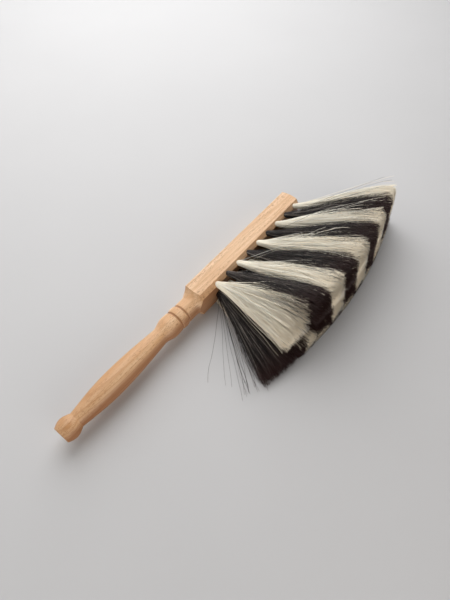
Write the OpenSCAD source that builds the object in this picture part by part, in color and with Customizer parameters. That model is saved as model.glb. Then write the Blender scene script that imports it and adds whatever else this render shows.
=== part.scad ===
// Neck duster brush: one turned wooden handle and tuft block, with three rows of hair tufts.
// Millimetres. +X runs from the handle to the block's far end, +Z is up, the tufts point along -Y.
// The brush lies on its side. The origin is the middle of the block's lower side face.

/* [Tuft block] */
// Length of the block
block_len = 168; // [166:1:190]
// Thickness of the block, from its back to its tufted face
block_thick = 23; // [22:0.5:26]
// Width of the tufted face, which is the block's height as it lies
block_width = 33.5; // [32:0.5:36]
// Bevel along the tufted face's two long edges
tuft_bevel = 4.2; // [3.5:0.1:4.8]
// Softening of the back's two long edges
back_bevel = 0.6; // [0.4:0.1:1]
// Rise of the far end's shallow curve
end_rise = 2; // [1:0.25:3]

/* [Turned handle] */
// Length from the block's near shoulder to the knob's flat end
handle_len = 172; // [150:1:180]
// Radius of the flat on the knob's end
knob_flat_r = 7.4; // [6.5:0.1:8.4]
// Largest radius of the knob
knob_r = 10.8; // [9.5:0.1:11.4]
// Radius of the neck just inside the knob
knob_neck_r = 7.8; // [6.5:0.1:8.6]
// Largest radius of the grip
grip_r = 11.7; // [10.5:0.1:12]
// Radius of the waist between the grip and the bead
waist_r = 8.6; // [7:0.1:9.5]
// Largest radius of the bead
bead_r = 11.6; // [10.5:0.1:12]
// Radius of the neck between the grooves and the block
neck_r = 10.8; // [10.3:0.1:11.4]
// Radius at the bottom of the two grooves
groove_r = 10.1; // [9.3:0.1:10.2]
// Width of each groove
groove_w = 2.8; // [1.6:0.1:3]

/* [Tufts] */
// Distance from the block's near shoulder to the first holes
first_hole = 22.5; // [20:0.5:26]
// Distance between neighbouring holes along the block
pitch = 17; // [15:0.25:17.25]
// Diameter of the tuft holes
hole_d = 5.2; // [4.5:0.1:5.2]
// Distance of the two outer rows of holes from the block's side faces
row_inset = 3.2; // [3.2:0.1:3.5]
// Depth of the tuft holes
hole_depth = 13; // [11:0.5:14]
// Angle at which the two outer rows are drilled away from the middle row
row_splay = 22; // [15:1:25]
// Distance from the handle's axis to the trimmed ends, at the trim's furthest point
trim_reach = 119.5; // [105:0.5:125]
// Radius of the curve that the ends are trimmed to
trim_r = 480; // [350:1:700]
// Place of that curve's middle, from the block's near shoulder
trim_centre = 92; // [85:1:110]
// How much shorter the top of the trimmed ends is than the bottom
trim_setback = 8; // [0:0.5:12]

/* [Hidden] */
$fn = 96;
columns = 9;
rows = ["top", "middle", "bottom"];
// Where the tips of each row change from one tuft to the next, from the block's near shoulder:
// at the tips' upper side, and at their lower side
upper_edges = [
    [8, 44, 61, 85, 111, 136, 162, 181, 205, 224],
    [-20, 35, 44, 70, 90, 115, 138, 161, 184, 232],
    [-12, 20, 43, 66, 90, 113, 135, 157, 181, 230]
];
lower_edges = [
    [10, 42, 68, 90, 115, 137, 164, 183, 209, 228],
    [-28, 28, 43, 73, 93, 120, 144, 167, 191, 236],
    [-14, 20, 44, 68, 92, 116, 139, 161, 186, 234]
];
// Lowest and highest point of each row's tips above the table
tip_heights = [[37, 70], [7, 36], [0, 6]];
// The first top tuft hangs lower, and the first two under it stay below it
first_tuft_low = 22;
under_first_high = 20.5;
// The pile of hair slopes down at both ends: highest tips at the near and the far end of each row
near_high = [26, 11, 4];
far_high = [66, 33, 6];
// Extra reach of the first tufts of the two lower rows, which fan out low
near_extra = 7;
tuft_gap = 0.5;
hole_clearance = 0.1;
mouth_gap = 1.8;
collar_step = 0.15;
collar_h = 0.4;
tip_h = 1;
overlap = 1;

wire_len = hole_d - 0.4;
wire_h = 2.2;
wire_t = 0.45;
wire_slack = 0.15;
wire_lift = 1.2;

near_x = -block_len / 2;
knob_x = near_x - handle_len;
axis_z = block_width / 2;
half_thick = block_thick / 2;
shoulder_r = norm([half_thick, axis_z]);

// Stations along the turned handle, back from the block's near shoulder
cove_x = near_x - 9.5;
inner_groove_x = near_x - 19.8;
outer_groove_x = near_x - 29.7;
collar_x = (outer_groove_x + inner_groove_x) / 2;
bead_x = near_x - 38.2;
waist_x = near_x - 52.5;
grip_x = near_x - 110;
knob_neck_x = knob_x + 17.3;
knob_max_x = knob_x + 8;
knob_edge_x = knob_x + 1.1;
knob_edge_r = knob_flat_r + 1.4;
land_r = 11.2;
collar_r = 11.7;

// How far a turned stretch has risen at t from 0 to 1. The word says which end of it is level.
function rise(t, level) =
    level == "start" ? 1 - cos(90 * t) :
    level == "end" ? sin(90 * t) :
    level == "both" ? (1 - cos(180 * t)) / 2 :
    level == "round" ? sqrt(1 - (1 - t) * (1 - t)) :
    1 - sqrt(1 - t * t);

// Points of a turned stretch from one station [x, radius] to the next, without the first
function stretch(from, to, level, steps) = [
    for (i = [1 : steps])
        let (t = i / steps)
        [from.x + (to.x - from.x) * t, from.y + (to.y - from.y) * rise(t, level)]
];

function groove(x, r_before, r_after) = [
    [x - groove_w / 2, r_before],
    [x - groove_w / 8, groove_r],
    [x + groove_w / 8, groove_r],
    [x + groove_w / 2, r_after]
];

// Half of the handle's outline, from the knob's flat end to the shoulder
function handle_outline() = concat(
    [[knob_x, 0], [knob_x, knob_flat_r]],
    stretch([knob_x, knob_flat_r], [knob_edge_x, knob_edge_r], "round", 5),
    stretch([knob_edge_x, knob_edge_r], [knob_max_x, knob_r], "end", 8),
    stretch([knob_max_x, knob_r], [knob_neck_x, knob_neck_r], "start", 10),
    stretch([knob_neck_x, knob_neck_r], [grip_x, grip_r], "end", 24),
    stretch([grip_x, grip_r], [waist_x, waist_r], "start", 30),
    stretch([waist_x, waist_r], [bead_x, bead_r], "both", 12),
    stretch([bead_x, bead_r], [outer_groove_x - groove_w / 2, land_r], "both", 5),
    groove(outer_groove_x, land_r, land_r),
    stretch([outer_groove_x + groove_w / 2, land_r], [collar_x, collar_r], "end", 5),
    stretch([collar_x, collar_r], [inner_groove_x - groove_w / 2, land_r], "start", 5),
    groove(inner_groove_x, land_r, neck_r),
    stretch([cove_x, neck_r], [near_x, shoulder_r], "cove", 16)
);

// Section of the block, seen along its length: [y, z]
function block_section() = [
    [-half_thick, tuft_bevel],
    [-half_thick + tuft_bevel, 0],
    [half_thick - back_bevel, 0],
    [half_thick, back_bevel],
    [half_thick, block_width - back_bevel],
    [half_thick - back_bevel, block_width],
    [-half_thick + tuft_bevel, block_width],
    [-half_thick, block_width - tuft_bevel]
];

module block_prism(from_x, to_x) {
    translate([from_x, 0, 0])
        multmatrix([[0, 0, 1, 0], [1, 0, 0, 0], [0, 1, 0, 0], [0, 0, 0, 1]])
            linear_extrude(to_x - from_x)
                polygon(block_section());
}

// The handle as it comes off the lathe, before the block's faces cut its shoulder
module turned_handle() {
    translate([0, 0, axis_z])
        rotate([0, 90, 0])
            rotate([0, 0, 90])
                rotate_extrude()
                    polygon([for (p = concat(handle_outline(), [[near_x + overlap, shoulder_r],
                                                                [near_x + overlap, 0]]))
                             [p.y, p.x]]);
}

// Plan of the block: square at the shoulder and shallowly curved at the far end
module block_plan() {
    end_r = (half_thick * half_thick + end_rise * end_rise) / (2 * end_rise);
    far_x = near_x + block_len;
    intersection() {
        translate([near_x, -block_thick])
            square([block_len, 2 * block_thick]);
        union() {
            translate([near_x, -block_thick])
                square([block_len - end_r, 2 * block_thick]);
            translate([far_x - end_r, 0])
                circle(end_r);
        }
    }
}

// Frame of one tuft hole: its origin is the hole's mouth and its +Z points out of the hole
module at_hole(row, i) {
    side = 1 - row;
    mouth_y = -half_thick + abs(side) * (tuft_bevel - row_inset);
    mouth_z = axis_z + side * (axis_z - row_inset);
    translate([near_x + first_hole + (i - 1) * pitch, mouth_y, mouth_z])
        rotate([90 - side * row_splay, 0, 0])
            children();
}

module wooden_body() {
    color("BurlyWood")
        difference() {
            union() {
                intersection() {
                    turned_handle();
                    block_prism(knob_x - overlap, near_x + overlap);
                }
                intersection() {
                    block_prism(near_x, near_x + block_len);
                    linear_extrude(block_width)
                        block_plan();
                }
            }
            for (row = [0 : 2])
                for (i = [1 : columns])
                    at_hole(row, i)
                        translate([0, 0, -hole_depth])
                            cylinder(h = 2 * hole_depth, d = hole_d);
        }
}

// One flat wire lies across the bottom of each hole, with the tuft folded over it
module wire_anchors() {
    color("Silver")
        for (row = [0 : 2])
            for (i = [1 : columns])
                at_hole(row, i)
                    translate([-wire_len / 2, -wire_t / 2, -hole_depth + wire_lift])
                        cube([wire_len, wire_t, wire_h]);
}

// Height of the trimming curve's end above its furthest point, at x from the near shoulder
function trim_sag(x) = trim_r - sqrt(trim_r * trim_r - (x - trim_centre) * (x - trim_centre));

// One corner of a tuft's tips, at x from the near shoulder and z above the table, and how much
// further than the others it reaches
module tip_corner(x, z, extra) {
    lean = trim_setback * z / tip_heights[0][1];
    translate([near_x + x - tip_h / 2, -trim_reach + trim_sag(x) + lean - extra, z])
        cube(tip_h);
}

// A tuft: the root in its hole, folded over the wire, and the hair spreading to its trimmed tips
module tuft(row, i) {
    root_d = hole_d - 2 * hole_clearance;
    inset = tuft_gap + tip_h / 2;
    low = row == 0 && i == 1 ? first_tuft_low : tip_heights[row][0];
    high = row == 1 && i <= 2 ? under_first_high : tip_heights[row][1];
    extra = row > 0 && i == 1 ? near_extra : 0;
    // columns alternate in colour, and the middle row starts with the dark one
    dark = (row + i) % 2 == 0;
    color(dark ? "DimGray" : "Ivory") {
        at_hole(row, i)
            difference() {
                translate([0, 0, -hole_depth + hole_clearance])
                    cylinder(h = hole_depth + mouth_gap + collar_h / 2, d = root_d);
                translate([-hole_d / 2, -wire_t / 2 - wire_slack, -hole_depth + wire_lift - wire_slack])
                    cube([hole_d, wire_t + 2 * wire_slack, wire_h + 2 * wire_slack]);
            }
        hull() {
            at_hole(row, i)
                translate([0, 0, mouth_gap])
                    cylinder(h = collar_h, d = root_d + 2 * collar_step, $fn = 32);
            for (side = [0, 1]) {
                step_in = inset * (1 - 2 * side);
                end_high = i == 1 && side == 0 ? near_high[row] :
                    i == columns && side == 1 ? far_high[row] : high;
                tip_corner(upper_edges[row][i - 1 + side] + step_in, end_high - tip_h, extra);
                tip_corner(lower_edges[row][i - 1 + side] + step_in, low, extra);
            }
        }
    }
}

wooden_body();
wire_anchors();
for (row = [0 : 2])
    for (i = [1 : columns])
        tuft(row, i);
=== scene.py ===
"""Looks for the neck duster brush: beech handle and block, and three rows of real hair strands.

Metres, in the CAD frame: +X from the handle to the block's far end, +Z up, the tufts along -Y.
"""

import math

import bpy
import numpy as np
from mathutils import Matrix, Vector


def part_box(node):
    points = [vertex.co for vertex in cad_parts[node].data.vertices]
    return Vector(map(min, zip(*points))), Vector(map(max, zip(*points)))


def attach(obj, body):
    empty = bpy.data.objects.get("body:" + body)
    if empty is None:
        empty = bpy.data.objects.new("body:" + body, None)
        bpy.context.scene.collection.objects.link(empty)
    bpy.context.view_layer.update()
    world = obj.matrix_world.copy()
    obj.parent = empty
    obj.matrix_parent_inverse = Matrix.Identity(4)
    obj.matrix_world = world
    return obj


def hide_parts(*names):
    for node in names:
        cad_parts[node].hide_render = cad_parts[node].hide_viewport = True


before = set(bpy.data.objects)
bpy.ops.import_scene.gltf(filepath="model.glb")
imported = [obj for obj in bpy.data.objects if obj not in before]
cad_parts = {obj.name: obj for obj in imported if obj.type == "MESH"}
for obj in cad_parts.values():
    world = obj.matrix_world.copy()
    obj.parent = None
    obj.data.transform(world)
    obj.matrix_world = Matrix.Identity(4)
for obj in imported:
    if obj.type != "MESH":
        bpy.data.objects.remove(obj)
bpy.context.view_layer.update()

MM = 0.001
SEED = 7

# ---- The brush's layout, as the CAD source has it ----
ROWS = ("top", "middle", "bottom")
COLUMNS = 9
BLOCK_LEN = 168 * MM
TUFT_BEVEL = 4.2 * MM
FIRST_HOLE = 22.5 * MM
PITCH = 17 * MM
ROW_INSET = 3.2 * MM
ROW_SPLAY = math.radians(22)
ROOT_R = 2.45 * MM
TRIM_REACH = 119.5 * MM
TRIM_R = 480 * MM
TRIM_CENTRE = 92 * MM
TRIM_SETBACK = 8 * MM
TRIM_TOP = 71 * MM
# Where the tips of each row change from one tuft to the next, in mm from the near shoulder
UPPER_EDGES = {
    "top": (8, 44, 61, 85, 111, 136, 162, 181, 205, 224),
    "middle": (-20, 35, 44, 70, 90, 115, 138, 161, 184, 232),
    "bottom": (-12, 20, 43, 66, 90, 113, 135, 157, 181, 230),
}
LOWER_EDGES = {
    "top": (10, 42, 68, 90, 115, 137, 164, 183, 209, 228),
    "middle": (-28, 28, 43, 73, 93, 120, 144, 167, 191, 236),
    "bottom": (-14, 20, 44, 68, 92, 116, 139, 161, 186, 234),
}
# Lowest and highest tips of each row above the table, in mm
TIP_HEIGHTS = {"top": (32, 71), "middle": (2, 37), "bottom": (0.6, 8)}
# The first top tuft's tips start lower than the others', and the two middle tufts under it end lower
FIRST_TOP_LOW = 21
UNDER_FIRST_HIGH = 18
# The pile slopes down to both ends: its highest tips at the near end, with the slope's curve, and at the far
NEAR_HIGH = {"top": 26, "middle": 7, "bottom": 3}
NEAR_SLOPE = 0.8
FAR_HIGH = {"top": 66, "middle": 34, "bottom": 8}

body_low, body_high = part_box("wooden_body")
NEAR_X = body_high.x - BLOCK_LEN
KNOB_X = body_low.x
BLOCK_HEIGHT = body_high.z
TUFT_FACE_Y = body_low.y
AXIS_Z = BLOCK_HEIGHT / 2
# Middles of the handle's two grooves
GROOVES_X = (NEAR_X - 19.8 * MM, NEAR_X - 29.7 * MM)

# ---- Hair ----
STRANDS = {"top": 2650, "middle": 2400, "bottom": 1200}
# Tufts that are mostly hidden have fewer strands: what their number is divided by
THINNED = {("middle", 1): 2, ("bottom", 0): 4}
# Strands gather in locks, apart from the loose ones. Places in a tuft run from -1 to 1, and shades
# from 0 to 1: the dark hair's are scaled down, so that only its pale hairs, which also paint glints, reach
# the lightest ones.
LOCKS = 400
LOOSE_SHARE = 0.4
LOCK_SPREAD = 0.03
ROOT_SCATTER = 0.12
TIP_SCATTER = 0.05
# In the white hair, the locks' differing shades are partly the hair's own tone and partly painted shade
# between locks
LOCK_SHADE_SHARE = 0.7
OWN_SHADE_SHARE = 0.3
DARK_SHADE_SCALE = 0.84
# Each strand is a closed tube of this many rings and sides
RINGS = 13
SIDES = 3
ROOT_THICK = 0.15 * MM
TIP_THICK = 0.12 * MM
THICK_RANGE = (0.75, 1.25)
# Depth of the roots in their holes, and the strands' curve from the holes to the tips
ROOT_DEPTH = 2.5 * MM
HOLE_PULL = 0.15
FAN_PULL = 0.85
CURVE_HANDLE = 0.3
ARRIVAL_SCATTER = 0.05
# Hairs arch: they rise to the middle and droop at the end. The bottom row lies flat.
DROOP = 5 * MM
END_DROOP = 1.2
MIDDLE_RISE = 0.8
ARCH = {"top": 1.0, "middle": 0.4, "bottom": 0.0}
# Bends along a hair: their size, how many turns they make, and whether a whole lock shares them
BENDS = ((1.0 * MM, 0.8, True), (0.9 * MM, 1.6, False), (0.45 * MM, 3.6, False))
BEND_TURNS_RANGE = (0.6, 1.3)
BEND_SIZE_RANGE = (0.2, 1.5)
BEND_GROWTH = 1.2
# How much further than the trim line the tufts at the near end reach, or less far if below 0
NEAR_EXTRA = {
    ("top", 0): -4.5 * MM, ("middle", 0): 2.5 * MM, ("bottom", 0): -6 * MM, ("middle", 1): 0.5 * MM,
}
# Hairs that cross a neighbouring tuft: how far they lean over it, and how far they lie above it
LEAN = 9 * MM
OVER_RISE = 4 * MM
BACK_RISE = 3 * MM
# Hairs that wander: their spread along the brush, its limit, their shift at the near end, their rise
WILD_SPREAD = 12 * MM
WILD_LIMIT = 12 * MM
WILD_NEAR_SHIFT = -9 * MM
WILD_RISE = 2 * MM
WILD_RISE_SPREAD = 4 * MM
# Pale hairs in the dark tufts, which also stand in for painted glints: their share, their share of the
# wandering ones, and their shades
PALE_AND_GLINT_SHARE = {"top": 0.10, "middle": 0.06, "bottom": 0.06}
WILD_PALE_AND_GLINT_SHARE = 0.35
PALE_AND_GLINT_SHADES = (0.7, 1)
# How much of a hair's length is missing: in short hairs, by uneven trimming, and in crossing hairs
SHORT_SHARE = 0.14
SHORT_BY = (0.02, 0.3)
TRIM_ERROR = 0.008
UPPER_TRIM_ERROR = 0.02
BACK_SHORT_BY = (0.08, 0.32)
OVER_SHORT_BY = (0, 0.12)
TOP_EDGE_ROUNDING = 0.055
# How unevenly a tuft's tips end, as a share of its length
RAGGED = {("top", 0): 0.08, ("middle", 0): 0.07}
# How far the strands are shaded as one soft mass, whose normals lean to the tuft's side and to the sky
SOFTNESS = {"white_hair": 0.72, "dark_hair": 0.22}
SIDE_LEAN = 0.4
SKY_LEAN = 0.7
# Long hairs that stand apart: where each ends, in mm, and its shade from 0 to 1
STRAYS = {
    ("middle", 0): (
        ((-138, -62, 3), 0.3), ((-131, -76, 2), 0.3), ((-122, -97, 2), 0.3), ((-117, -103, 2), 0.8),
        ((-110, -110, 2), 0.3), ((-119, -88, 4), 0.9),
    ),
    ("top", 2): (((37, -67, 68), 0.9), ((42, -76, 68), 0.7)),
    ("top", 1): (((6, -84, 68), 1.0),),
    ("top", 5): (((86, -66, 67), 0.3),),
    ("top", 7): (((140, -76, 66), 0.3), ((139, -87, 66), 0.3), ((126, -84, 68), 0.9)),
}
# Shades that the hair's materials tell apart: each has its own column of the UV square
SHADES = 64
FLOOR_GAP = 0.35 * MM

# ---- Colours, linear ----
BEECH_DEEP = (0.70, 0.41, 0.21, 1)
BEECH_LIGHT = (0.86, 0.60, 0.38, 1)
BAND_BROWN = (0.55, 0.30, 0.14, 1)
GRAIN_BROWN = (0.58, 0.335, 0.175, 1)
STREAK_BROWN = (0.54, 0.285, 0.13, 1)
FLECK_BROWN = (0.32, 0.14, 0.055, 1)
KNOB_END_BROWN = (0.44, 0.20, 0.065, 1)
# painted shade for the surfaces that face -Y, behind the tufts
TUFT_FACE_PAINTED_SHADE = (0.27, 0.095, 0.027, 1)
CUT_END_BROWN = (0.56, 0.32, 0.15, 1)
GROOVE_BROWN = (0.30, 0.12, 0.045, 1)
WIRE_DARK = (0.42, 0.41, 0.39, 1)
WIRE_LIGHT = (0.66, 0.65, 0.62, 1)
TABLE_DARK = (0.56, 0.558, 0.564, 1)
TABLE_LIGHT = (0.595, 0.592, 0.598, 1)
# Growth layers crossed per metre in each direction, and how many of them the layers drift by
LAYERS_UP = 260.0
LAYERS_ACROSS = 190.0
LAYERS_ALONG = 12.0
LAYER_DRIFT = 5.0
# Hair: the colour at each shade from 0 to 1, and the colour towards the tips. The white's tan shades are
# partly the hair's own tone and partly painted shade between locks.
WHITE_TONES_AND_LOCK_SHADE = (
    (0.05, (0.80, 0.61, 0.38, 1)), (0.25, (0.97, 0.86, 0.65, 1)),
    (0.50, (0.995, 0.93, 0.765, 1)), (0.95, (0.998, 0.965, 0.85, 1)),
)
WHITE_TIP = (0.97, 0.83, 0.62, 1)
# The dark hair's grey and pale shades are partly pale hairs and partly painted glints
DARK_TONES_AND_GLINTS = (
    (0.15, (0.006, 0.0035, 0.0035, 1)), (0.50, (0.014, 0.0085, 0.008, 1)),
    (0.76, (0.055, 0.040, 0.034, 1)), (0.98, (0.42, 0.37, 0.32, 1)),
)
DARK_TIP = (0.034, 0.012, 0.010, 1)
TIP_START = 0.72

# ---- Stage, lights and camera ----
FLOOR_SIZE = 60
SKY_COLOUR = (1.0, 0.98, 0.965, 1)
# The sky is bright near the horizon and dim from half way up
SKY_STRENGTH = (("From Min", 0.0), ("From Max", 0.5), ("To Min", 0.85), ("To Max", 0.12))
# Name, place, target, size, power in watts and colour
LAMPS = (
    ("window", (0.46, 0.56, 0.76), (0.03, -0.02, 0), 1.35, 12.9, (1.0, 1.0, 1.0)),
    ("left_window", (-0.5, 0.5, 0.85), (0, 0, 0), 1.4, 4.1, (1.0, 0.99, 0.97)),
    ("room", (-0.4, -1.1, 0.36), (0, -0.05, 0.02), 1.2, 6.2, (1.0, 0.94, 0.88)),
)
CAMERA_PLACE = (-0.2588, -0.1772, 0.3938)
CAMERA_LOOK = (0.4302, 0.3426, -0.8352)
LENS_MM = 27.08
SENSOR_MM = 36
SHARP_ANGLE = math.radians(28)


# ---------------------------------------------------------------- node helpers
class Nodes:
    """A short way to add and link shader nodes in one material."""

    def __init__(self, name):
        self.mat = bpy.data.materials.new(name)
        self.mat.use_nodes = True
        self.tree = self.mat.node_tree
        self.tree.nodes.clear()

    def add(self, kind, settings=None, **inputs):
        node = self.tree.nodes.new(kind)
        for key, value in (settings or {}).items():
            setattr(node, key, value)
        for key, value in inputs.items():
            self.set(node, key.replace("_", " "), value)
        return node

    def set(self, node, key, value):
        socket = node.inputs[int(key)] if key.isdigit() else node.inputs[key]
        if isinstance(value, bpy.types.NodeSocket):
            self.tree.links.new(value, socket)
        else:
            socket.default_value = value

    def math(self, operation, a, b=0.0, clamp=False):
        node = self.add("ShaderNodeMath", {"operation": operation, "use_clamp": clamp})
        self.set(node, "0", a)
        self.set(node, "1", b)
        return node.outputs[0]

    def ramp(self, value, low, high, to_low=0.0, to_high=1.0):
        node = self.add("ShaderNodeMapRange", {"interpolation_type": "SMOOTHSTEP"})
        for key, number in (("0", value), ("1", low), ("2", high), ("3", to_low), ("4", to_high)):
            self.set(node, key, number)
        return node.outputs[0]

    def mix(self, factor, a, b, blend="MIX"):
        node = self.add("ShaderNodeMix", {"data_type": "RGBA", "blend_type": blend})
        self.set(node, "0", factor)
        self.set(node, "6", a)
        self.set(node, "7", b)
        return node.outputs[2]

    def noise(self, vector, scale, detail=2.0, roughness=0.5):
        node = self.add("ShaderNodeTexNoise", Scale=scale, Detail=detail, Roughness=roughness)
        self.set(node, "Vector", vector)
        return node.outputs[0]

    def stretched(self, vector, x, y, z):
        node = self.add("ShaderNodeMapping", Scale=(x, y, z))
        self.set(node, "Vector", vector)
        return node.outputs[0]

    def finish(self, shader):
        output = self.add("ShaderNodeOutputMaterial")
        self.tree.links.new(shader.outputs[0], output.inputs[0])
        return self.mat


# ---------------------------------------------------------------- materials
def beech():
    """Bare sanded beech: pale tan, growth bands, streaks, fine grain, short dark flecks, darker ends."""
    n = Nodes("beech")
    place = n.add("ShaderNodeTexCoord").outputs["Object"]
    along, across, up = n.add("ShaderNodeSeparateXYZ", Vector=place).outputs[:3]

    # growth bands: nearly flat layers across the wood, which turned surfaces cut into long tongues
    drift = n.noise(n.stretched(place, 6, 30, 30), 1.0, 2)
    layer = n.math("ADD", n.math("MULTIPLY", up, LAYERS_UP), n.math("MULTIPLY", across, LAYERS_ACROSS))
    layer = n.math("ADD", layer, n.math("MULTIPLY", drift, LAYER_DRIFT))
    layer = n.math("ADD", layer, n.math("MULTIPLY", along, LAYERS_ALONG))
    band = n.math("FRACT", layer)
    wide = n.noise(n.stretched(place, 5, 70, 60), 1.6, 3)
    grain = n.noise(n.stretched(place, 14, 520, 480), 1.5, 3, 0.6)
    pores = n.noise(n.stretched(place, 300, 1900, 1900), 1.0, 1)
    patches = n.noise(n.stretched(place, 14, 90, 90), 1.0, 1)
    flecks = n.math("MULTIPLY", n.ramp(pores, 0.575, 0.67), n.ramp(patches, 0.36, 0.6))
    streaks = n.noise(n.stretched(place, 7, 230, 200), 1.0, 3, 0.65)

    # the wood is paler, and its figure weaker, from the knob to the block
    pale = n.ramp(along, KNOB_X, NEAR_X)
    colour = n.mix(n.ramp(wide, 0.32, 0.68), BEECH_DEEP, BEECH_LIGHT)
    banded = n.math("MULTIPLY", n.ramp(band, 0.5, 1.0), n.ramp(pale, 0, 1, 0.72, 0.36))
    colour = n.mix(banded, colour, BAND_BROWN)
    colour = n.mix(n.math("MULTIPLY", n.ramp(grain, 0.46, 0.72), 0.5), colour, GRAIN_BROWN)
    streaked = n.math("MULTIPLY", n.ramp(streaks, 0.50, 0.66), n.ramp(pale, 0, 1, 0.8, 0.42))
    colour = n.mix(streaked, colour, STREAK_BROWN)
    colour = n.mix(n.math("MULTIPLY", flecks, 0.7), colour, FLECK_BROWN)
    darker = n.mix(0.55, colour, KNOB_END_BROWN)
    colour = n.mix(pale, darker, colour)

    # painted shade darkens whatever faces -Y: the face behind the tufts, which the hair shades, and that
    # side of the handle; the cut ends and the two grooves are darker too
    normal = n.add("ShaderNodeNewGeometry").outputs["Normal"]
    normal_x, normal_y, _ = n.add("ShaderNodeSeparateXYZ", Vector=normal).outputs[:3]
    colour = n.mix(n.ramp(normal_y, -0.6, -0.95, 0, 0.75), colour, TUFT_FACE_PAINTED_SHADE)
    cut = n.ramp(n.math("ABSOLUTE", normal_x), 0.25, 0.95, 0, 0.35)
    colour = n.mix(cut, colour, CUT_END_BROWN)
    for groove_x in GROOVES_X:
        away = n.math("ABSOLUTE", n.math("SUBTRACT", along, groove_x))
        colour = n.mix(n.ramp(away, 0.7 * MM, 1.6 * MM, 0.7, 0), colour, GROOVE_BROWN)

    height = n.math("ADD", n.math("MULTIPLY", grain, 0.6), n.math("MULTIPLY", flecks, -0.6))
    bump = n.add("ShaderNodeBump", Strength=0.35, Distance=0.15 * MM, Height=height)
    rough = n.ramp(grain, 0.3, 0.8, 0.40, 0.56)
    shader = n.add("ShaderNodeBsdfPrincipled", Base_Color=colour, Roughness=rough, Normal=bump.outputs[0])
    n.set(shader, "IOR", 1.45)
    return n.finish(shader)


def hair(name, shades, tip, tip_amount, roughness, sheen, ior):
    """Hair coloured by the strand's shade, which is its column across U, and by its length along V."""
    n = Nodes(name)
    uv = n.add("ShaderNodeUVMap", {"uv_map": "OFBake"}).outputs[0]
    u, v, _ = n.add("ShaderNodeSeparateXYZ", Vector=uv).outputs[:3]
    shade = n.math("DIVIDE", n.math("FLOOR", n.math("MULTIPLY", u, SHADES)), SHADES - 1)
    colour = shades[0][1]
    for (before, _), (after, following) in zip(shades, shades[1:]):
        colour = n.mix(n.ramp(shade, before, after), colour, following)
    colour = n.mix(n.math("MULTIPLY", n.ramp(v, TIP_START, 1.0), tip_amount), colour, tip)
    shader = n.add("ShaderNodeBsdfPrincipled", Base_Color=colour, Roughness=roughness)
    n.set(shader, "IOR", ior)
    n.set(shader, "Sheen Weight", sheen)
    return n.finish(shader)


def wire():
    """Drawn steel wire with fine lengthwise scratches."""
    n = Nodes("anchor_wire")
    place = n.add("ShaderNodeTexCoord").outputs["Object"]
    scratches = n.noise(n.stretched(place, 200, 2500, 2500), 1.0, 2)
    colour = n.mix(scratches, WIRE_DARK, WIRE_LIGHT)
    rough = n.ramp(scratches, 0, 1, 0.28, 0.5)
    shader = n.add("ShaderNodeBsdfPrincipled", Base_Color=colour, Roughness=rough)
    n.set(shader, "Metallic", 1.0)
    return n.finish(shader)


def table_top():
    """Plain pale matt surface with a very faint mottle."""
    n = Nodes("table_top")
    place = n.add("ShaderNodeTexCoord").outputs["Object"]
    mottle = n.noise(place, 6, 3)
    colour = n.mix(mottle, TABLE_DARK, TABLE_LIGHT)
    shader = n.add("ShaderNodeBsdfPrincipled", Base_Color=colour, Roughness=0.7)
    return n.finish(shader)


# ---------------------------------------------------------------- hair strands
def hole_mouth(row, column):
    """The middle of a tuft hole's mouth, and the direction in which it is drilled, outwards."""
    side = {"top": 1, "middle": 0, "bottom": -1}[row]
    mouth = np.array((
        NEAR_X + FIRST_HOLE + column * PITCH,
        TUFT_FACE_Y + abs(side) * (TUFT_BEVEL - ROW_INSET),
        AXIS_Z + side * (AXIS_Z - ROW_INSET),
    ))
    out = np.array((0.0, -math.cos(side * ROW_SPLAY), math.sin(side * ROW_SPLAY)))
    return mouth, out


def trim_y(row, column, x, z):
    """Y of the trimmed ends at a place x along the brush and z above the table."""
    from_centre = x - NEAR_X - TRIM_CENTRE
    sag = TRIM_R - np.sqrt(TRIM_R**2 - from_centre**2)
    return -TRIM_REACH + sag + TRIM_SETBACK * z / TRIM_TOP - NEAR_EXTRA.get((row, column), 0)


def disc_from_square(x, y):
    """Where a point of the square from -1 to 1 goes when the square is pulled in to the unit disc."""
    largest = np.maximum(abs(x), abs(y))
    reach = np.maximum(np.hypot(x, y), 1e-9)
    return x * largest / reach, y * largest / reach


def unit(vectors):
    return vectors / np.linalg.norm(vectors, axis=-1, keepdims=True)


def between(low, high, t):
    return low + (high - low) * t


def tip_points(row, column, u, w):
    """Where strands end on the trimmed face, for u across the tuft and w up it, both from -1 to 1."""
    low, high = TIP_HEIGHTS[row]
    if row == "top" and column == 0:
        low = FIRST_TOP_LOW
    if row == "middle" and column < 2:
        high = UNDER_FIRST_HIGH
    if column == 0:
        high = between(NEAR_HIGH[row], high, np.clip((u + 1) / 2, 0, 1) ** NEAR_SLOPE)
    if column == COLUMNS - 1:
        high = between(high, FAR_HIGH[row], np.clip((u + 1) / 2, 0, 1))
    t = (w + 1) / 2
    left = between(LOWER_EDGES[row][column], UPPER_EDGES[row][column], t)
    right = between(LOWER_EDGES[row][column + 1], UPPER_EDGES[row][column + 1], t)
    x = NEAR_X + MM * between(left, right, (u + 1) / 2)
    z = MM * between(low, high, t)
    return x, z


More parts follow.
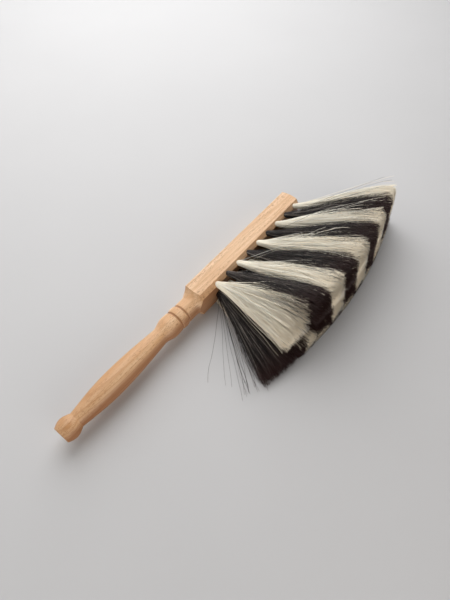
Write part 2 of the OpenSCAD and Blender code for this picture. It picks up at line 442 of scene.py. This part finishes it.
def strand_plan(row, column, count, rng):
    """Each strand's place u, w in the tuft, its place at the root, its lock and its shade from 0 to 1."""
    centre = rng.uniform(-1, 1, (LOCKS, 2))
    lock = rng.integers(0, LOCKS, count)
    loose = rng.uniform(size=count) < LOOSE_SHARE
    anywhere = rng.uniform(-1, 1, (count, 2))
    in_lock = centre[lock] + LOCK_SPREAD * rng.normal(size=(count, 2))
    u, w = np.where(loose[:, None], anywhere, in_lock).T
    root_u = np.clip(u + ROOT_SCATTER * rng.normal(size=count), -1, 1)
    root_w = np.clip(w + ROOT_SCATTER * rng.normal(size=count), -1, 1)
    lock_shade = LOCK_SHADE_SHARE * rng.uniform(size=LOCKS)[lock]
    shade = np.clip(lock_shade + OWN_SHADE_SHARE * rng.uniform(size=count), 0, 1)
    if is_dark(row, column):
        shade *= DARK_SHADE_SCALE
    return u, w, root_u, root_w, lock, shade


def is_dark(row, column):
    """Tufts alternate in colour along each row and from row to row; the first of the top row is white."""
    return (ROWS.index(row) + column) % 2 == 1


def over_share(row, column):
    """The share of a tuft's upper hairs that lie over its neighbour nearer to the handle."""
    if column == 0:
        return 0.02
    if not is_dark(row, column):
        return 0.08
    return 0.26 if column == 1 else 0.42


def back_share(row, column):
    """The share of a tuft's upper hairs that lie over its neighbour further from the handle."""
    if column == COLUMNS - 1:
        return 0
    return 0.05 if is_dark(row, column) else 0.30


def wild_share(row, column):
    """The share of a tuft's hairs that wander anywhere: most in the dark tuft at the near end."""
    if (row, column) == ("middle", 0):
        return 0.09
    return 0.002 if column == 0 else 0.02


def tuft_paths(row, column, count, rng):
    """Points of each strand from inside its hole to its trimmed tip, its shade, and its way outward."""
    mouth, out = hole_mouth(row, column)
    up = np.array((0.0, out[2], -out[1]))
    u, w, root_u, root_w, lock, shade = strand_plan(row, column, count, rng)
    disc_x, disc_y = disc_from_square(root_u, root_w)
    root = mouth + ROOT_R * (disc_x[:, None] * np.array((1.0, 0, 0)) + disc_y[:, None] * up)

    tip_x, tip_z = tip_points(row, column, u + TIP_SCATTER * rng.normal(size=count), w)
    # on the tuft's upper side, some hairs stray over the two neighbours
    over = rng.uniform(size=count) < over_share(row, column)
    over &= w > 0
    tip_x -= np.where(over, abs(rng.normal(0, LEAN, count)), 0)
    tip_z += np.where(over, rng.uniform(0, OVER_RISE, count), 0)
    back = (rng.uniform(size=count) < back_share(row, column)) & (w > 0)
    tip_x += np.where(back, abs(rng.normal(0, LEAN, count)), 0)
    tip_z += np.where(back, rng.uniform(0, BACK_RISE, count), 0)
    # a few wander anywhere, and at the near end mostly off the tuft's free side
    wild = rng.uniform(size=count) < wild_share(row, column)
    aside = rng.normal(WILD_NEAR_SHIFT if column == 0 else 0, WILD_SPREAD, count)
    tip_x += np.where(wild, np.minimum(aside, WILD_LIMIT), 0)
    tip_z += np.where(wild, rng.normal(WILD_RISE, WILD_RISE_SPREAD, count), 0)
    tip = np.stack([tip_x, trim_y(row, column, tip_x, tip_z), tip_z], axis=1)
    # pale hairs in the dark tufts: partly real pale hairs, partly painted glints
    pale = is_dark(row, column) & (rng.uniform(size=count) < PALE_AND_GLINT_SHARE[row])
    if is_dark(row, column):
        pale |= wild & (rng.uniform(size=count) < WILD_PALE_AND_GLINT_SHARE)
    shade = np.where(pale, rng.uniform(*PALE_AND_GLINT_SHADES, count), shade)

    # trimmed ends are not quite level, and some hairs never reached the trim
    short = np.where(rng.uniform(size=count) < SHORT_SHARE, rng.uniform(*SHORT_BY, count), 0)
    uneven = TRIM_ERROR + UPPER_TRIM_ERROR * np.clip(w, 0, 1) ** 3
    keep = 1 - short - abs(rng.normal(0, 1, count)) * uneven
    keep -= RAGGED.get((row, column), 0) * rng.uniform(size=count)
    back_short = rng.uniform(*BACK_SHORT_BY, count)
    over_short = rng.uniform(*OVER_SHORT_BY, count)
    keep -= np.where(back, back_short, np.where(over, over_short, 0))
    if row == "top":
        keep -= TOP_EDGE_ROUNDING * np.clip(w, 0, 1) ** 4
    tip = root + (tip - root) * keep[:, None]
    for k, (stray, stray_shade) in enumerate(STRAYS.get((row, column), ())):
        tip[k] = np.array(stray) * MM
        shade[k] = stray_shade

    length = np.linalg.norm(tip - root, axis=1, keepdims=True)
    fan = unit(tip - root)
    leave = unit(out * HOLE_PULL + fan * FAN_PULL)
    arrive = unit(fan + ARRIVAL_SCATTER * rng.normal(size=(count, 3)))
    first = root + leave * length * CURVE_HANDLE
    second = tip - arrive * length * CURVE_HANDLE
    t = np.linspace(0, 1, RINGS)[None, :, None]
    a, b, c, d = (p[:, None, :] for p in (root, first, second, tip))
    path = a * (1 - t) ** 3 + 3 * b * t * (1 - t) ** 2 + 3 * c * t**2 * (1 - t) + d * t**3

    # each lock bends as one, and each hair a little on its own
    side_way = unit(np.cross(fan, (0.0, 0.0, 1.0)))[:, None, :]
    up_way = unit(np.cross(side_way[:, 0], fan))[:, None, :]
    single = np.arange(count)
    along = t[:, :, 0]
    for size, turns, shared in BENDS:
        group = lock if shared else single
        kinds = group.max() + 1
        phase = rng.uniform(0, 2 * math.pi, (kinds, 2))[group]
        speed = (turns * rng.uniform(*BEND_TURNS_RANGE, (kinds, 2)))[group]
        amount = (size * rng.uniform(*BEND_SIZE_RANGE, (kinds, 2)))[group]
        for way, k in ((side_way, 0), (up_way, 1)):
            swing = np.sin(2 * math.pi * speed[:, k:k + 1] * along + phase[:, k:k + 1])
            start = np.sin(phase[:, k:k + 1])
            path = path + way * (amount[:, k:k + 1] * along**BEND_GROWTH * (swing - start))[:, :, None]

    # the ends droop, and the root goes on into its hole
    path[:, :, 2] -= DROOP * ARCH[row] * (END_DROOP * along**5 - MIDDLE_RISE * along**2)
    path[:, 0] = root - out * ROOT_DEPTH
    path[:, :, 2] = np.maximum(path[:, :, 2], FLOOR_GAP)
    outward = unit(u[:, None] * np.array((SIDE_LEAN, 0, 0)) + w[:, None] * up + np.array((0, 0, SKY_LEAN)))
    return path, shade, outward


def strand_mesh(name, path, shade, outward, softness, rng):
    """Closed thin tubes along the paths, with the shade in U and the length in V.

    The strands are shaded partly as one soft mass, so their normals lean outward from the tuft.
    """
    count, rings, _ = path.shape
    along = unit(np.gradient(path, axis=1))
    side = unit(np.cross(along, (0.0, 0.0, 1.0)))
    upward = np.cross(side, along)
    t = np.linspace(0, 1, rings)
    thick = ROOT_THICK + (TIP_THICK - ROOT_THICK) * t
    thick = thick[None, :] * rng.uniform(*THICK_RANGE, (count, 1))
    turn = rng.uniform(0, 2 * math.pi, count)
    points = np.empty((count, rings, SIDES, 3))
    normals = np.empty((count, rings, SIDES, 3))
    for k in range(SIDES):
        angle = (turn + 2 * math.pi * k / SIDES)[:, None, None]
        around = np.cos(angle) * side + np.sin(angle) * upward
        points[:, :, k] = path + thick[:, :, None] * around
        normals[:, :, k] = unit((1 - softness) * around + softness * outward[:, None, :])

    index = np.arange(count * rings * SIDES).reshape(count, rings, SIDES)
    following = np.roll(index, -1, axis=2)
    ring_corners = [index[:, :-1], index[:, 1:], following[:, 1:], following[:, :-1]]
    quads = np.stack(ring_corners, axis=-1).reshape(-1, 4)
    caps = np.concatenate([index[:, 0], index[:, -1, ::-1]])
    mesh = bpy.data.meshes.new(name)
    mesh.vertices.add(index.size)
    mesh.vertices.foreach_set("co", points.astype(np.float32).ravel())
    corners = np.concatenate([quads.ravel(), caps.ravel()])
    mesh.loops.add(len(corners))
    mesh.loops.foreach_set("vertex_index", corners.astype(np.int32))
    sizes = np.concatenate([np.full(len(quads), 4), np.full(len(caps), 3)])
    starts = np.concatenate([[0], np.cumsum(sizes)[:-1]])
    mesh.polygons.add(len(sizes))
    mesh.polygons.foreach_set("loop_start", starts.astype(np.int32))
    mesh.update(calc_edges=True)

    # each strand stays inside its shade's column of the UV square, off the column's edges
    column = np.floor(shade * (SHADES - 0.001))[:, None, None]
    across = np.array([0.2, 0.8, 0.5])[None, None, :]
    u = np.broadcast_to((column + across) / SHADES, index.shape).ravel()
    v = np.broadcast_to((0.005 + 0.99 * t)[None, :, None], index.shape).ravel()
    layer = mesh.uv_layers.new(name="OFBake")
    layer.data.foreach_set("uv", np.stack([u[corners], v[corners]], axis=1).astype(np.float32).ravel())
    mesh.polygons.foreach_set("use_smooth", np.ones(len(sizes), bool))
    mesh.update()
    mesh.validate()
    mesh.normals_split_custom_set_from_vertices(normals.reshape(-1, 3))
    return mesh


def build_tuft(row, column, materials):
    """One tuft of strands, which stands for the CAD's plain tuft."""
    rng = np.random.default_rng(SEED + 100 * ROWS.index(row) + column)
    count = STRANDS[row] // 1
    count //= THINNED.get((row, column), 1)
    name = f"hair_{row}_{column + 1}"
    slot = "dark_hair" if is_dark(row, column) else "white_hair"
    mesh = strand_mesh(name, *tuft_paths(row, column, count, rng), SOFTNESS[slot], rng)
    tuft = bpy.data.objects.new(name, mesh)
    bpy.context.scene.collection.objects.link(tuft)
    mesh.materials.append(materials[slot])
    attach(tuft, "root")
    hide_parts(f"tuft_{row}_{column + 1}")


def build_hair():
    materials = {
        "white_hair": hair(
            "white_hair", WHITE_TONES_AND_LOCK_SHADE, WHITE_TIP, tip_amount=0.6, roughness=0.4, sheen=0.6, ior=1.5
        ),
        "dark_hair": hair(
            "dark_hair", DARK_TONES_AND_GLINTS, DARK_TIP, tip_amount=0.85, roughness=0.30, sheen=0.0, ior=1.4
        ),
    }
    for row in ROWS:
        for column in range(COLUMNS):
            build_tuft(row, column, materials)


# ---------------------------------------------------------------- CAD nodes that stay
def dress_cad_node(name, material):
    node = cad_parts[name]
    node.data.materials.clear()
    node.data.materials.append(material)
    node.data.shade_smooth()
    node.data.set_sharp_from_angle(angle=SHARP_ANGLE)


# ---------------------------------------------------------------- stage, lights and camera
def build_floor():
    bpy.ops.mesh.primitive_plane_add(size=FLOOR_SIZE, location=(0, 0, 0))
    floor = bpy.context.object
    floor.name = "table_top"
    floor.data.materials.append(table_top())


def area_light(name, place, target, size, power, colour):
    light = bpy.data.lights.new(name, "AREA")
    light.shape = "DISK"
    light.size = size
    light.energy = power
    light.color = colour
    lamp = bpy.data.objects.new(name, light)
    lamp.location = place
    lamp.rotation_euler = (Vector(target) - Vector(place)).to_track_quat("-Z", "Y").to_euler()
    lamp.visible_camera = False
    bpy.context.scene.collection.objects.link(lamp)


def build_lights():
    world = bpy.data.worlds.new("soft_room")
    world.use_nodes = True
    tree = world.node_tree
    place = tree.nodes.new("ShaderNodeTexCoord").outputs["Generated"]
    height = tree.nodes.new("ShaderNodeSeparateXYZ")
    strength = tree.nodes.new("ShaderNodeMapRange")
    strength.interpolation_type = "SMOOTHSTEP"
    for key, value in SKY_STRENGTH:
        strength.inputs[key].default_value = value
    background = tree.nodes["Background"]
    background.inputs["Color"].default_value = SKY_COLOUR
    tree.links.new(place, height.inputs[0])
    tree.links.new(height.outputs["Z"], strength.inputs["Value"])
    tree.links.new(strength.outputs[0], background.inputs["Strength"])
    bpy.context.scene.world = world
    for lamp in LAMPS:
        area_light(*lamp)


def build_camera():
    """A phone held above the handle's side, looking down along the tufts."""
    data = bpy.data.cameras.new("camera")
    data.lens = LENS_MM
    data.sensor_width = SENSOR_MM
    camera = bpy.data.objects.new("camera", data)
    camera.location = CAMERA_PLACE
    camera.rotation_euler = Vector(CAMERA_LOOK).to_track_quat("-Z", "Y").to_euler()
    bpy.context.scene.collection.objects.link(camera)
    bpy.context.scene.camera = camera


bpy.context.scene.view_settings.view_transform = "Standard"
build_camera()
dress_cad_node("wooden_body", beech())
dress_cad_node("wire_anchors", wire())
build_hair()
build_floor()
build_lights()
